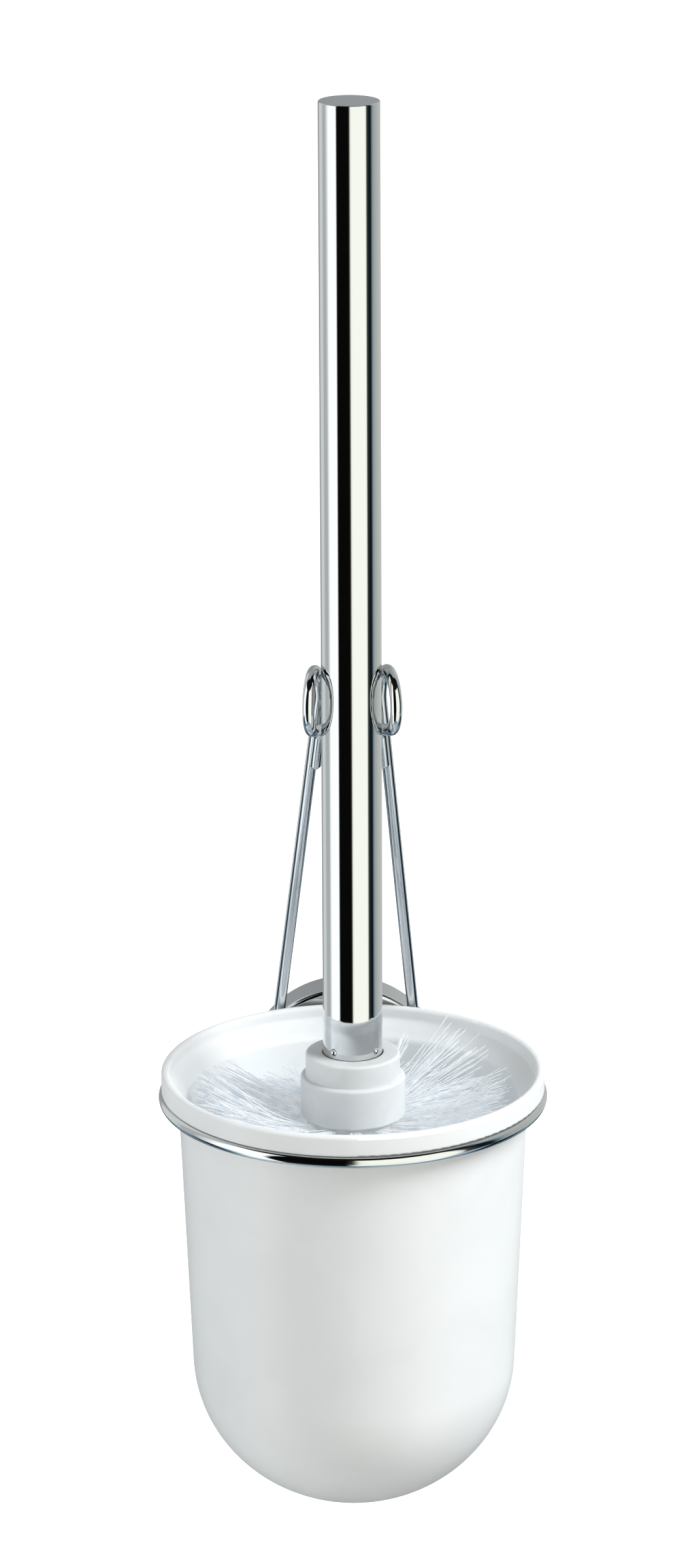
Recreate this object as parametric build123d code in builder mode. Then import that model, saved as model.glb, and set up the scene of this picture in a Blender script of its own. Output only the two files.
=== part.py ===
from build123d import *

import math
import os

# Wall-hung toilet brush set, in millimetres.
# The origin is the centre of the wall plate's back face, on the wall.
# +Z is up, +Y points into the wall, so the set stands out towards -Y.

# ---------------------------------------------------------------- driving sizes
wire_diameter = 3.2        # ring and uprights are bent from one wire stock
weld_land = 0.15           # how far a wire is flattened where it is welded on
lip_overlap = 0.85         # of the bowl's lip, past the ring's centre line

cover_diameter = 55.0      # round chrome cover on the wall
cover_depth = 11.0
cover_wall = 1.2
cover_edge_radius = 1.4

collar_thickness = 2.7     # collar pressed into the cover, round the wall plate
plate_thickness = 9.0
plate_clearance = 0.1      # radial, between the plate and the cover's collar
plate_chamfer = 0.6
collar_wall_gap = 0.6      # the collar stops short of the wall
screw_spacing = 26.0       # between the two wall screws
screw_hole_diameter = 4.5
screw_head_diameter = 9.0
screw_head_depth = 4.0

grub_diameter = 4.0        # set screw that locks the cover on the plate
grub_clearance = 0.02
grub_hole_margin = 0.3     # radial, of the cover's hole round the screw
grub_length = 4.4
grub_tip_length = 1.0
grub_socket_flats = 2.0
grub_socket_depth = 1.8
grub_depth = 5.0           # of its axis, from the wall
groove_depth = 1.2         # groove round the plate for the screw's tip
groove_width = 2.4         # at its floor, with sloping sides
groove_tip_gap = 0.15      # between the screw's tip and the groove's floor

rim_height = 23.6          # bowl's rim above the cover's centre
lip_radius = 51.5
lip_height = 5.8           # of the lip that hangs over the ring
lip_wall = 2.3
lip_root_round = 0.5       # where the side meets the underside of the lip
lip_edge_round = 0.6       # lower edge of the lip
rim_round = 1.1
ledge_top = 3.2            # sloping ledge inside the lip, below the rim
ledge_bottom = 8.0
ledge_round = 1.2
ledge_foot_round = 1.5
bowl_wall = 2.2
bowl_draft = 2.4           # taper of the bowl's side, in degrees
side_inset = 7.65          # of the dome's edge, inside the lip
dome_depth = 40.9
side_depth = 82.3          # from the rim to the middle of the dome
ring_gap = 0.1             # between the lip and the ring below it

eye_radius = 7.9           # centre line of the eyelets that flank the handle
eye_gap = 0.3              # between an eyelet's wire and the handle
eye_setback = 1.0          # of an eyelet's centre, behind the handle's axis
eye_height = 102.6         # of an eyelet's centre, above the rim
eye_yaw = 12.0             # the eyelets open towards the front, in degrees
eye_entry = 21.0           # where the upright runs into its eyelet, in degrees
eye_exit = 255.0           # where the tail leaves its eyelet, in degrees
eye_lead = 4.0             # straight length before the eyelet
stem_bend = 20.0           # where the stem bends into its eyelet
tail_lead = 11.3           # from the eyelet to the tail's bend
tail_length = 12.0
tail_bend = 4.0
leg_gap = 0.05             # between each upright's lower leg and the ring
leg_reach = 14.0           # how far the legs run down the cover, past its centre
leg_bend = 8.0
leg_bend_drop = 0.8        # the legs bend forward just below the rim
weld_bead = 1.35           # where the tail is welded to its own stem
weld_bead_shift = 0.2      # of the bead, to the side that the eyelet opens to

handle_diameter = 16.0
handle_wall = 1.0
handle_length = 257.6
handle_lift = 3.2          # of the tube's lower end, above the rim
handle_end_round = 0.4
cap_thickness = 1.4
cap_round = 0.35
cap_plug_length = 5.0
cap_plug_clearance = 0.05

insert_length = 18.0       # threaded bush in the tube's lower end
insert_setback = 1.0
stem_diameter = 10.0       # threaded stem of the head, drawn at its major size
stem_length = 16.0
stem_clearance = 0.05
dimple_count = 4           # dents that stake the tube onto its bush
dimple_height = 3.4        # above the tube's lower end
dimple_radius = 1.1
dimple_depth = 0.7
dimple_turn = 49.0         # of the first dent, from +X, in degrees
stake_groove_depth = 1.3
stake_groove_width = 4.0

collar_diameter = 25.4     # upper ring of the brush head
collar_top = 4.7           # above the rim
collar_step = -1.7
hub_diameter = 28.1        # wider body below the collar
hub_bottom = -13.0
hub_edge_round = 0.8
hub_step_round = 0.2       # corner between the collar and the hub
core_root_round = 0.3      # corner between the hub and the core
seat_clearance = 0.3       # round and under the tube, in the collar's recess
core_diameter = 25.0       # tufted core
tuft_diameter = 2.9
tuft_hole_clearance = 0.05
tuft_hole_depth = 5.0
tuft_rows = 9
tufts_per_row = 12
first_row_drop = 15.2      # below the rim
last_row_lift = 0.7        # above the dome's middle
side_clearance = 0.35      # between the rows of tufts and the bowl's side
tip_clearance = 0.5        # between the tufts at the tip and the bowl
tip_rings = ((30.0, 12), (60.0, 6), (90.0, 1))   # angle below level, tufts

# ------------------------------------------------------------- places they give
wire_radius = wire_diameter / 2
ring_radius = lip_radius - lip_overlap               # centre line of the bowl ring
leg_spread = math.sqrt((ring_radius + wire_diameter + leg_gap) ** 2 - ring_radius**2)
cover_radius = cover_diameter / 2
cover_inside = cover_radius - cover_wall
collar_bore = cover_inside - collar_thickness
plate_radius = collar_bore - plate_clearance
cover_face = -cover_depth
wire_face = cover_face - wire_radius + weld_land     # centre of a welded wire
axis_y = wire_face - ring_radius                     # axis of the bowl and brush
lip_under = rim_height - lip_height
ring_height = lip_under - ring_gap - wire_radius
dome_height = rim_height - side_depth
dome_radius = lip_radius - side_inset
handle_radius = handle_diameter / 2
eye_swing = math.radians(eye_yaw)
eye_room = handle_radius + wire_radius + eye_gap
eye_offset = (eye_room - eye_setback * math.sin(eye_swing)) / math.cos(eye_swing)
handle_bottom = rim_height + handle_lift
handle_top = handle_bottom + handle_length
core_radius = core_diameter / 2
brush_radius = dome_radius - bowl_wall - side_clearance
row_pitch = (side_depth - first_row_drop - last_row_lift) / (tuft_rows - 1)
bowl_axis = Axis((0, axis_y, 0), (0, 0, 1))
profile = Plane(origin=(0, axis_y, 0), x_dir=(1, 0, 0), z_dir=(0, -1, 0))


def level(height):
    """Level plane at a height, centred on the axis of the bowl and brush."""
    return Plane(origin=(0, axis_y, height))


def save(piece, name):
    """Label a finished piece and write it to its own STEP file."""
    piece.label = name
    export_step(piece, f"parts/{name}.step")


os.makedirs("parts", exist_ok=True)

# ------------------------------------------------------------------- wall plate
# A moulded disc, screwed to the wall through two counterbored holes.
with BuildPart() as wall_plate:
    with BuildSketch(Plane.XY):
        with BuildLine():
            Polyline(
                (0, 0),
                (plate_radius, 0),
                (plate_radius, -grub_depth + groove_width),
                (plate_radius - groove_depth, -grub_depth + groove_width / 2),
                (plate_radius - groove_depth, -grub_depth - groove_width / 2),
                (plate_radius, -grub_depth - groove_width),
                (plate_radius, -plate_thickness),
                (0, -plate_thickness),
                close=True,
            )
        make_face()
    revolve(axis=Axis.Y)
    front_rim = wall_plate.edges().filter_by(GeomType.CIRCLE).group_by(Axis.Y)[0]
    chamfer(front_rim, plate_chamfer)
    front = Plane(origin=(0, -plate_thickness, 0), x_dir=(1, 0, 0), z_dir=(0, -1, 0))
    with Locations(front):
        with GridLocations(screw_spacing, 0, 2, 1):
            CounterBoreHole(screw_hole_diameter / 2, screw_head_diameter / 2, screw_head_depth)
save(wall_plate.part, "wall_plate")

# -------------------------------------------------------------- cover and collar
# The cover is a drawn steel cup. A thick collar pressed into it slides over the
# wall plate and carries the set screw's thread.
with BuildPart() as wall_cover:
    with BuildSketch(Plane.XY):
        with BuildLine():
            FilletPolyline(
                (0, cover_face),
                (cover_radius, cover_face),
                (cover_radius, 0),
                radius=cover_edge_radius,
            )
            Polyline(
                (cover_radius, 0),
                (cover_inside, 0),
                (cover_inside, cover_face + cover_wall),
                (0, cover_face + cover_wall),
                (0, cover_face),
            )
        make_face()
    revolve(axis=Axis.Y)
    with Locations(Plane(origin=(0, -grub_depth, -cover_radius), z_dir=(0, 0, 1))):
        Cylinder(grub_diameter / 2 + grub_hole_margin, 4 * cover_wall, mode=Mode.SUBTRACT)
save(wall_cover.part, "wall_cover")

collar_back = -collar_wall_gap
collar_front = cover_face + cover_wall
grub_plane = Plane(origin=(0, -grub_depth, -cover_inside), z_dir=(0, 0, 1))
with BuildPart() as cover_collar:
    with BuildSketch(Plane.XZ.offset(-collar_back)):
        Circle(cover_inside)
        Circle(collar_bore, mode=Mode.SUBTRACT)
    extrude(amount=collar_back - collar_front)
    with Locations(grub_plane):
        Cylinder(grub_diameter / 2 + grub_clearance, 4 * collar_thickness, mode=Mode.SUBTRACT)
save(cover_collar.part, "cover_collar")

grub_tip = -(plate_radius - groove_depth) - groove_tip_gap
with BuildPart() as grub_screw:
    with BuildSketch(Plane(origin=(0, -grub_depth, 0), x_dir=(1, 0, 0), z_dir=(0, -1, 0))):
        with BuildLine():
            Polyline(
                (0, grub_tip),
                (0, grub_tip - grub_length),
                (grub_diameter / 2, grub_tip - grub_length),
                (grub_diameter / 2, grub_tip - grub_tip_length),
                (grub_diameter / 2 - grub_tip_length, grub_tip),
                close=True,
            )
        make_face()
    revolve(axis=Axis((0, -grub_depth, 0), (0, 0, 1)))
    with BuildSketch(Plane(origin=(0, -grub_depth, grub_tip - grub_length), z_dir=(0, 0, 1))):
        RegularPolygon(grub_socket_flats / 2, 6, major_radius=False)
    extrude(amount=grub_socket_depth, mode=Mode.SUBTRACT)
save(grub_screw.part, "grub_screw")


# ------------------------------------------------------------- ring and uprights
def flatten_on_cover():
    """Cut the wire in the current part flat where it meets the cover's face."""
    with Locations((0, cover_face, 0)):
        Box(
            2 * cover_diameter,
            2 * wire_diameter,
            2 * cover_diameter,
            align=(Align.CENTER, Align.MIN, Align.CENTER),
            mode=Mode.SUBTRACT,
        )


with BuildPart() as bowl_ring:
    with BuildSketch(profile):
        with Locations((ring_radius, ring_height)):
            Circle(wire_radius)
    revolve(axis=bowl_axis)
    flatten_on_cover()
save(bowl_ring.part, "bowl_ring")


def make_upright(side):
    """Bend one upright: leg on the cover, leaning stem, eyelet and welded tail.

    side is -1 for the left upright and 1 for the right one.
    """
    up = Vector(0, 0, 1)
    forward = Vector(side * math.sin(eye_swing), -math.cos(eye_swing), 0)
    across = forward.cross(up)
    centre = Vector(side * eye_offset, axis_y + eye_setback, rim_height + eye_height)

    def on_eye(angle):
        turn = math.radians(angle)
        return centre - forward * (eye_radius * math.cos(turn)) + up * (eye_radius * math.sin(turn))

    def along_eye(angle):
        turn = math.radians(angle)
        return forward * math.sin(turn) + up * math.cos(turn)

    leg_end = Vector(side * leg_spread, wire_face, -leg_reach)
    leg_top = Vector(side * leg_spread, wire_face, rim_height - leg_bend_drop)
    entry = on_eye(eye_entry)
    stem_top = entry - along_eye(eye_entry) * eye_lead
    stem = (stem_top - leg_top).normalized()
    leave = on_eye(eye_exit)
    tail_top = leave + along_eye(eye_exit) * tail_lead
    tail_end = tail_top - stem * tail_length

    with BuildPart() as wire:
        with BuildLine() as route:
            FilletPolyline(leg_end, leg_top, stem_top, entry, radius=(leg_bend, stem_bend))
            ThreePointArc(entry, on_eye((eye_entry + eye_exit) / 2), leave)
            FilletPolyline(leave, tail_top, tail_end, radius=tail_bend)
        with BuildSketch(Plane(origin=leg_end, x_dir=across, z_dir=up)):
            Circle(wire_radius)
        sweep(path=route.line)
        with Locations(tail_end, tail_top - stem * (tail_bend / 2) + across * (weld_bead_shift * side)):
            Sphere(weld_bead)
        flatten_on_cover()
    return wire.part


save(make_upright(-1), "upright_left")
save(make_upright(1), "upright_right")

# ------------------------------------------------------------------------- bowl
draft = math.tan(math.radians(bowl_draft))


def dome_start(radius, depth):
    """Point where a drafted side runs tangent into an elliptical dome."""
    turn = math.atan(draft * depth / radius)
    return radius * math.cos(turn), dome_height - depth * math.sin(turn), math.degrees(turn)


def side_radius(start, height):
    """Radius of a drafted side at a height, from the point where it starts."""
    return start[0] + draft * (height - start[1])


outer_start = dome_start(dome_radius, dome_depth)
inner_start = dome_start(dome_radius - bowl_wall, dome_depth - bowl_wall)
ledge_high = rim_height - ledge_top
ledge_low = rim_height - ledge_bottom
with BuildPart() as bowl:
    with BuildSketch(profile):
        with BuildLine():
            EllipticalCenterArc(
                (0, dome_height),
                dome_radius,
                dome_depth,
                start_angle=270,
                arc_size=90 - outer_start[2],
            )
            FilletPolyline(
                outer_start[:2],
                (side_radius(outer_start, lip_under), lip_under),
                (lip_radius, lip_under),
                (lip_radius, rim_height),
                (lip_radius - lip_wall, rim_height),
                (lip_radius - lip_wall, ledge_high),
                (side_radius(inner_start, ledge_low), ledge_low),
                inner_start[:2],
                radius=(
                    lip_root_round,
                    lip_edge_round,
                    rim_round,
                    rim_round,
                    ledge_round,
                    ledge_foot_round,
                ),
            )
            EllipticalCenterArc(
                (0, dome_height),
                dome_radius - bowl_wall,
                dome_depth - bowl_wall,
                start_angle=270,
                arc_size=90 - inner_start[2],
            )
            Line((0, dome_height - dome_depth), (0, dome_height - dome_depth + bowl_wall))
        make_face()
    revolve(axis=bowl_axis)
save(bowl.part, "bowl")

# ----------------------------------------------------------------------- handle
tube_bore = handle_radius - handle_wall
dimple_level = handle_bottom + dimple_height
dimple_centre = handle_radius + dimple_radius - dimple_depth
with BuildPart() as handle_tube:
    with BuildSketch(level(handle_bottom)):
        Circle(handle_radius)
        Circle(tube_bore, mode=Mode.SUBTRACT)
    extrude(amount=handle_length)
    lower_edges = handle_tube.edges().filter_by(GeomType.CIRCLE).group_by(Axis.Z)[0]
    fillet(lower_edges.sort_by(SortBy.RADIUS)[-1], handle_end_round)
    with Locations(level(dimple_level)):
        with PolarLocations(dimple_centre - handle_wall, dimple_count, start_angle=dimple_turn):
            Sphere(dimple_radius)
        with PolarLocations(dimple_centre, dimple_count, start_angle=dimple_turn):
            Sphere(dimple_radius, mode=Mode.SUBTRACT)
save(handle_tube.part, "handle_tube")

with BuildPart() as handle_cap:
    with BuildSketch(level(handle_top)):
        Circle(handle_radius)
    extrude(amount=cap_thickness)
    fillet(handle_cap.edges().sort_by(Axis.Z)[-1], cap_round)
    with BuildSketch(level(handle_top)):
        Circle(tube_bore - cap_plug_clearance)
    extrude(amount=-cap_plug_length)
save(handle_cap.part, "handle_cap")

insert_bottom = handle_bottom + insert_setback
with BuildPart() as handle_insert:
    with BuildSketch(level(insert_bottom)):
        Circle(tube_bore)
        Circle(stem_diameter / 2 + stem_clearance, mode=Mode.SUBTRACT)
    extrude(amount=insert_length)
    with BuildSketch(level(dimple_level - stake_groove_width / 2)):
        Circle(handle_radius)
        Circle(tube_bore - stake_groove_depth, mode=Mode.SUBTRACT)
    extrude(amount=stake_groove_width, mode=Mode.SUBTRACT)
save(handle_insert.part, "handle_insert")


# ------------------------------------------------------------------- brush head
def tuft_planes(row):
    """Planes at the floor of one row's tuft holes, facing out along each tuft."""
    height = rim_height - first_row_drop - row * row_pitch
    root = core_radius - tuft_hole_depth
    planes = []
    for number in range(tufts_per_row):
        turn = 2 * math.pi * (number + row % 2 / 2) / tufts_per_row
        out = Vector(math.cos(turn), math.sin(turn), 0)
        planes.append(Plane(origin=Vector(0, axis_y, height) + out * root, z_dir=out))
    return planes


def tip_planes(drop, count):
    """Planes at the floor of one ring of tuft holes in the core's round end."""
    root = core_radius - tuft_hole_depth
    slope = math.radians(drop)
    planes = []
    for number in range(count):
        turn = 2 * math.pi * (number + 0.5) / count
        out = Vector(
            math.cos(slope) * math.cos(turn),
            math.cos(slope) * math.sin(turn),
            -math.sin(slope),
        )
        planes.append(Plane(origin=Vector(0, axis_y, dome_height) + out * root, z_dir=out))
    return planes


def tip_reach(drop):
    """Distance from the dome's middle to the tuft ends on one tip ring."""
    slope = math.radians(drop)
    inside = 1 / math.hypot(
        math.cos(slope) / (dome_radius - bowl_wall),
        math.sin(slope) / (dome_depth - bowl_wall),
    )
    return inside - tip_clearance


def along(length):
    """Alignment keywords of a cylinder that starts on its plane."""
    return {"height": length, "align": (Align.CENTER, Align.CENTER, Align.MIN)}


hub_radius = hub_diameter / 2
collar_radius = collar_diameter / 2
recess_floor = handle_bottom - seat_clearance
all_holes = [plane for row in range(tuft_rows) for plane in tuft_planes(row)]
for ring_drop, ring_count in tip_rings:
    all_holes += tip_planes(ring_drop, ring_count)

with BuildPart() as brush_core:
    with BuildSketch(profile):
        with BuildLine():
            Line((0, dome_height - core_radius), (0, recess_floor + stem_length))
            Polyline(
                (0, recess_floor + stem_length),
                (stem_diameter / 2, recess_floor + stem_length),
                (stem_diameter / 2, recess_floor),
                (handle_radius + seat_clearance, recess_floor),
                (handle_radius + seat_clearance, rim_height + collar_top),
            )
            FilletPolyline(
                (handle_radius + seat_clearance, rim_height + collar_top),
                (collar_radius, rim_height + collar_top),
                (collar_radius, rim_height + collar_step),
                (hub_radius, rim_height + collar_step),
                (hub_radius, rim_height + hub_bottom),
                (core_radius, rim_height + hub_bottom),
                (core_radius, dome_height),
                radius=(
                    hub_edge_round,
                    hub_step_round,
                    hub_edge_round,
                    hub_edge_round,
                    core_root_round,
                ),
            )
            CenterArc((0, dome_height), core_radius, 270, 90)
        make_face()
    revolve(axis=bowl_axis)
    with Locations(*all_holes):
        Cylinder(
            tuft_diameter / 2 + tuft_hole_clearance,
            mode=Mode.SUBTRACT,
            **along(2 * tuft_hole_depth),
        )
save(brush_core.part, "brush_core")

for row in range(tuft_rows):
    with BuildPart() as tuft_row:
        with Locations(*tuft_planes(row)):
            Cylinder(tuft_diameter / 2, **along(brush_radius - core_radius + tuft_hole_depth))
    save(tuft_row.part, f"tuft_row_{row + 1}")

with BuildPart() as tip_tufts:
    for ring_drop, ring_count in tip_rings:
        with Locations(*tip_planes(ring_drop, ring_count)):
            Cylinder(
                tuft_diameter / 2,
                **along(tip_reach(ring_drop) - core_radius + tuft_hole_depth),
            )
save(tip_tufts.part, "tip_tufts")
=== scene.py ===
"""Finishes, bristles, studio light and camera for a wall-hung toilet brush set."""

import logging
import math
from dataclasses import dataclass, field
from enum import Enum
from typing import Any, Iterator, Mapping, Optional, Sequence

import bpy
from mathutils import Matrix, Vector


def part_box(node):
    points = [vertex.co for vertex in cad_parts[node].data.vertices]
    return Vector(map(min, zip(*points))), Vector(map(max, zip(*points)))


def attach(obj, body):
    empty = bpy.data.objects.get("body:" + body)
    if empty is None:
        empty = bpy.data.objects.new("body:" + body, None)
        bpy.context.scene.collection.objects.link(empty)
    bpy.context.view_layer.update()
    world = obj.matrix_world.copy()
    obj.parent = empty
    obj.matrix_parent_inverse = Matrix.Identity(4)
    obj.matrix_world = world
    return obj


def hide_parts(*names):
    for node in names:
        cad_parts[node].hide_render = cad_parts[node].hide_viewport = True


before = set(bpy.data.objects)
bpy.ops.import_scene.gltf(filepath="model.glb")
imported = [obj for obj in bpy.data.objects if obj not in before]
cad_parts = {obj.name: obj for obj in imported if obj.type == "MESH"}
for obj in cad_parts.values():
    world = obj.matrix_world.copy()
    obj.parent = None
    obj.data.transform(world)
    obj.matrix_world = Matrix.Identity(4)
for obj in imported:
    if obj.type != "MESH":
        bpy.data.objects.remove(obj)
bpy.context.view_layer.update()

LOG = logging.getLogger("brush_set")
MM = 0.001
PER_MM = 1000.0  # Object coordinates are in metres, so this turns them to millimetres
WAVE_RATE = 20.0  # Radians that a wave texture goes through in one unit of its scale
# What each filament root carries for the bristle tree, with its kind.
STORED = {
    "aim": "FLOAT_VECTOR",
    "sweep": "FLOAT_VECTOR",
    "reach": "FLOAT",
    "loose": "FLOAT",
    "wall": "FLOAT",
    "count": "INT",
    "root": "FLOAT_VECTOR",
    "heading": "FLOAT_VECTOR",
    "length": "FLOAT",
    "bow": "FLOAT_VECTOR",
}


class Body(Enum):
    """Moving bodies of the set."""

    WALL_FRAME = "wall_frame"
    BOWL = "bowl"
    BRUSH_HEAD = "brush_head"
    HANDLE = "handle"


class Slot(Enum):
    """Finish slot for the bristles, which the script never assigns."""

    BRISTLE = "bristle"


class Spindle(Enum):
    """Direction that a turned piece spun about."""

    UPRIGHT = "Z"
    WALLWARD = "Y"


# ------------------------------------------------------------------ shared helpers
def linear(hex_colour: str) -> tuple[float, float, float, float]:
    """Turn an sRGB hex colour into the linear one that shaders take.

    Args:
        hex_colour: Six hex digits, with or without a leading #.

    Returns:
        Linear red, green, blue and an alpha of 1.
    """
    digits = hex_colour.lstrip("#")
    channels = [int(digits[start:start + 2], 16) / 255 for start in (0, 2, 4)]
    red, green, blue = (
        value / 12.92 if value <= 0.04045 else ((value + 0.055) / 1.055) ** 2.4
        for value in channels
    )
    return red, green, blue, 1.0


def add_node(
    tree: bpy.types.NodeTree,
    kind: str,
    settings: Optional[Mapping[str, Any]] = None,
    inputs: Optional[Mapping[Any, Any]] = None,
    links: Optional[Mapping[Any, Any]] = None,
) -> bpy.types.Node:
    """Add one node with its settings, socket values and incoming links.

    Args:
        tree: Node tree that gets the node.
        kind: Type name of the node.
        settings: Properties of the node itself, by name.
        inputs: Values of unlinked input sockets, by name or index.
        links: Output sockets to link in, by the name or index of the input.

    Returns:
        The new node.
    """
    node = tree.nodes.new(kind)
    for name, value in (settings or {}).items():
        setattr(node, name, value)
    for key, value in (inputs or {}).items():
        node.inputs[key].default_value = value
    for key, source in (links or {}).items():
        tree.links.new(source, node.inputs[key])
    return node


def set_stops(ramp: bpy.types.Node, stops: Sequence[tuple[float, Any]]) -> None:
    """Give a colour ramp its stops.

    Args:
        ramp: Colour ramp node.
        stops: Position from 0 to 1 and linear colour of each stop, in order.
    """
    elements = ramp.color_ramp.elements
    while len(elements) > 1:
        elements.remove(elements[-1])
    elements[0].position, elements[0].color = stops[0]
    for position, colour in stops[1:]:
        elements.new(position).color = colour


def new_material(name: str) -> tuple[bpy.types.Material, bpy.types.NodeTree]:
    """Make a material with an empty node tree.

    Args:
        name: Name of the real material and its process.

    Returns:
        The material and its node tree.
    """
    material = bpy.data.materials.new(name)
    material.use_nodes = True
    material.node_tree.nodes.clear()
    return material, material.node_tree


def coat(body: Body, node_name: str, material: bpy.types.Material) -> None:
    """Give a carried-over CAD node its material.

    Args:
        body: Body that the node belongs to.
        node_name: Name of the CAD node.
        material: Material for all of its faces.
    """
    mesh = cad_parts[node_name].data
    mesh.materials.clear()
    mesh.materials.append(material)
    LOG.info("%s/%s: %s, %d faces", body.value, node_name, material.name, len(mesh.polygons))


# ------------------------------------------------------------------------ finishes
@dataclass(frozen=True)
class ChromePlate:
    """Bright chrome over polished steel.

    Attributes:
        name: Name of the material.
        colour: Colour of the plating at normal incidence.
        roughness: Roughness of a clean spot.
        smudge: How much rougher a finger mark is.
        smudge_size: Size of the finger marks, in millimetres.
        smudge_range: Noise values where a finger mark begins and is full.
        polish_pitch: Spacing of the faint polishing lines, in millimetres.
        polish_run: How many times longer than wide those lines are.
        polish_depth: Depth of those lines, in metres.
    """

    name: str = "chrome_plated_steel"
    colour: str = "#D3D6D8"
    roughness: float = 0.025
    smudge: float = 0.05
    smudge_size: float = 14.0
    smudge_range: tuple[float, float] = (0.52, 0.8)
    polish_pitch: float = 0.9  # Coarser than a real buff's, so that it shows
    polish_run: float = 60.0
    polish_depth: float = 1.2e-6

    def make(self) -> bpy.types.Material:
        """Build the material: a mirror with faint finger marks and polishing lines.

        Returns:
            The material.
        """
        # Chromium is a cool grey mirror. It shows the room, and only a trace of haze
        # where it was touched. The polishing lines run along the tube.
        material, tree = new_material(self.name)
        place = add_node(tree, "ShaderNodeTexCoord")
        marks = add_node(
            tree,
            "ShaderNodeTexNoise",
            inputs={"Scale": PER_MM / self.smudge_size, "Detail": 4.0, "Roughness": 0.6},
            links={"Vector": place.outputs["Object"]},
        )
        haze = add_node(
            tree,
            "ShaderNodeMapRange",
            inputs={
                "From Min": self.smudge_range[0],
                "From Max": self.smudge_range[1],
                "To Min": self.roughness,
                "To Max": self.roughness + self.smudge,
            },
            links={"Value": marks.outputs["Fac"]},
        )
        across = PER_MM / self.polish_pitch
        stretch = add_node(
            tree,
            "ShaderNodeMapping",
            inputs={"Scale": (across, across, across / self.polish_run)},
            links={"Vector": place.outputs["Object"]},
        )
        lines = add_node(
            tree,
            "ShaderNodeTexNoise",
            inputs={"Scale": 1.0, "Detail": 3.0, "Roughness": 0.55},
            links={"Vector": stretch.outputs["Vector"]},
        )
        bump = add_node(
            tree,
            "ShaderNodeBump",
            inputs={"Strength": 0.5, "Distance": self.polish_depth},
            links={"Height": lines.outputs["Fac"]},
        )
        shader = add_node(
            tree,
            "ShaderNodeBsdfPrincipled",
            inputs={"Base Color": linear(self.colour), "Metallic": 1.0},
            links={"Roughness": haze.outputs["Result"], "Normal": bump.outputs["Normal"]},
        )
        add_node(tree, "ShaderNodeOutputMaterial", links={"Surface": shader.outputs["BSDF"]})
        return material


@dataclass(frozen=True)
class MouldedPlastic:
    """Injection-moulded plastic with a fine satin grain.

    Attributes:
        name: Name of the material.
        light: Colour of most of the surface.
        shade: Colour of the slightly darker flow marks.
        roughness: Lowest roughness.
        roughness_spread: How much the roughness varies.
        ior: Index of refraction.
        glow: Share of light that scatters inside the wall.
        glow_depth: How far that light travels, in metres.
        flow_size: Size of the flow marks, in millimetres.
        grain_size: Size of the mould's grain, in millimetres.
        grain_depth: Depth of the grain, in metres.
    """

    name: str
    light: str
    shade: str
    roughness: float
    roughness_spread: float = 0.06
    ior: float = 1.49
    glow: float = 0.15
    glow_depth: float = 0.0015
    flow_size: float = 28.0
    grain_size: float = 0.8  # Coarser than a real mould's, so that it shows
    grain_depth: float = 8e-6

    def make(self) -> bpy.types.Material:
        """Build the material: soft colour flow, satin grain and a little inner glow.

        Returns:
            The material.
        """
        material, tree = new_material(self.name)
        place = add_node(tree, "ShaderNodeTexCoord")
        flow = add_node(
            tree,
            "ShaderNodeTexNoise",
            inputs={"Scale": PER_MM / self.flow_size, "Detail": 3.0, "Distortion": 0.8},
            links={"Vector": place.outputs["Object"]},
        )
        tone = add_node(tree, "ShaderNodeValToRGB", links={"Fac": flow.outputs["Fac"]})
        set_stops(tone, ((0.3, linear(self.shade)), (0.65, linear(self.light))))
        sheen = add_node(
            tree,
            "ShaderNodeMapRange",
            inputs={"To Min": self.roughness, "To Max": self.roughness + self.roughness_spread},
            links={"Value": flow.outputs["Fac"]},
        )
        grain = add_node(
            tree,
            "ShaderNodeTexNoise",
            inputs={"Scale": PER_MM / self.grain_size, "Detail": 2.0},
            links={"Vector": place.outputs["Object"]},
        )
        bump = add_node(
            tree,
            "ShaderNodeBump",
            inputs={"Strength": 0.6, "Distance": self.grain_depth},
            links={"Height": grain.outputs["Fac"]},
        )
        shader = add_node(
            tree,
            "ShaderNodeBsdfPrincipled",
            inputs={
                "IOR": self.ior,
                "Subsurface Weight": self.glow,
                "Subsurface Radius": (1.0, 0.95, 0.9),
                "Subsurface Scale": self.glow_depth,
            },
            links={
                "Base Color": tone.outputs["Color"],
                "Roughness": sheen.outputs["Result"],
                "Normal": bump.outputs["Normal"],
            },
        )
        add_node(tree, "ShaderNodeOutputMaterial", links={"Surface": shader.outputs["BSDF"]})
        return material


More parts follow.
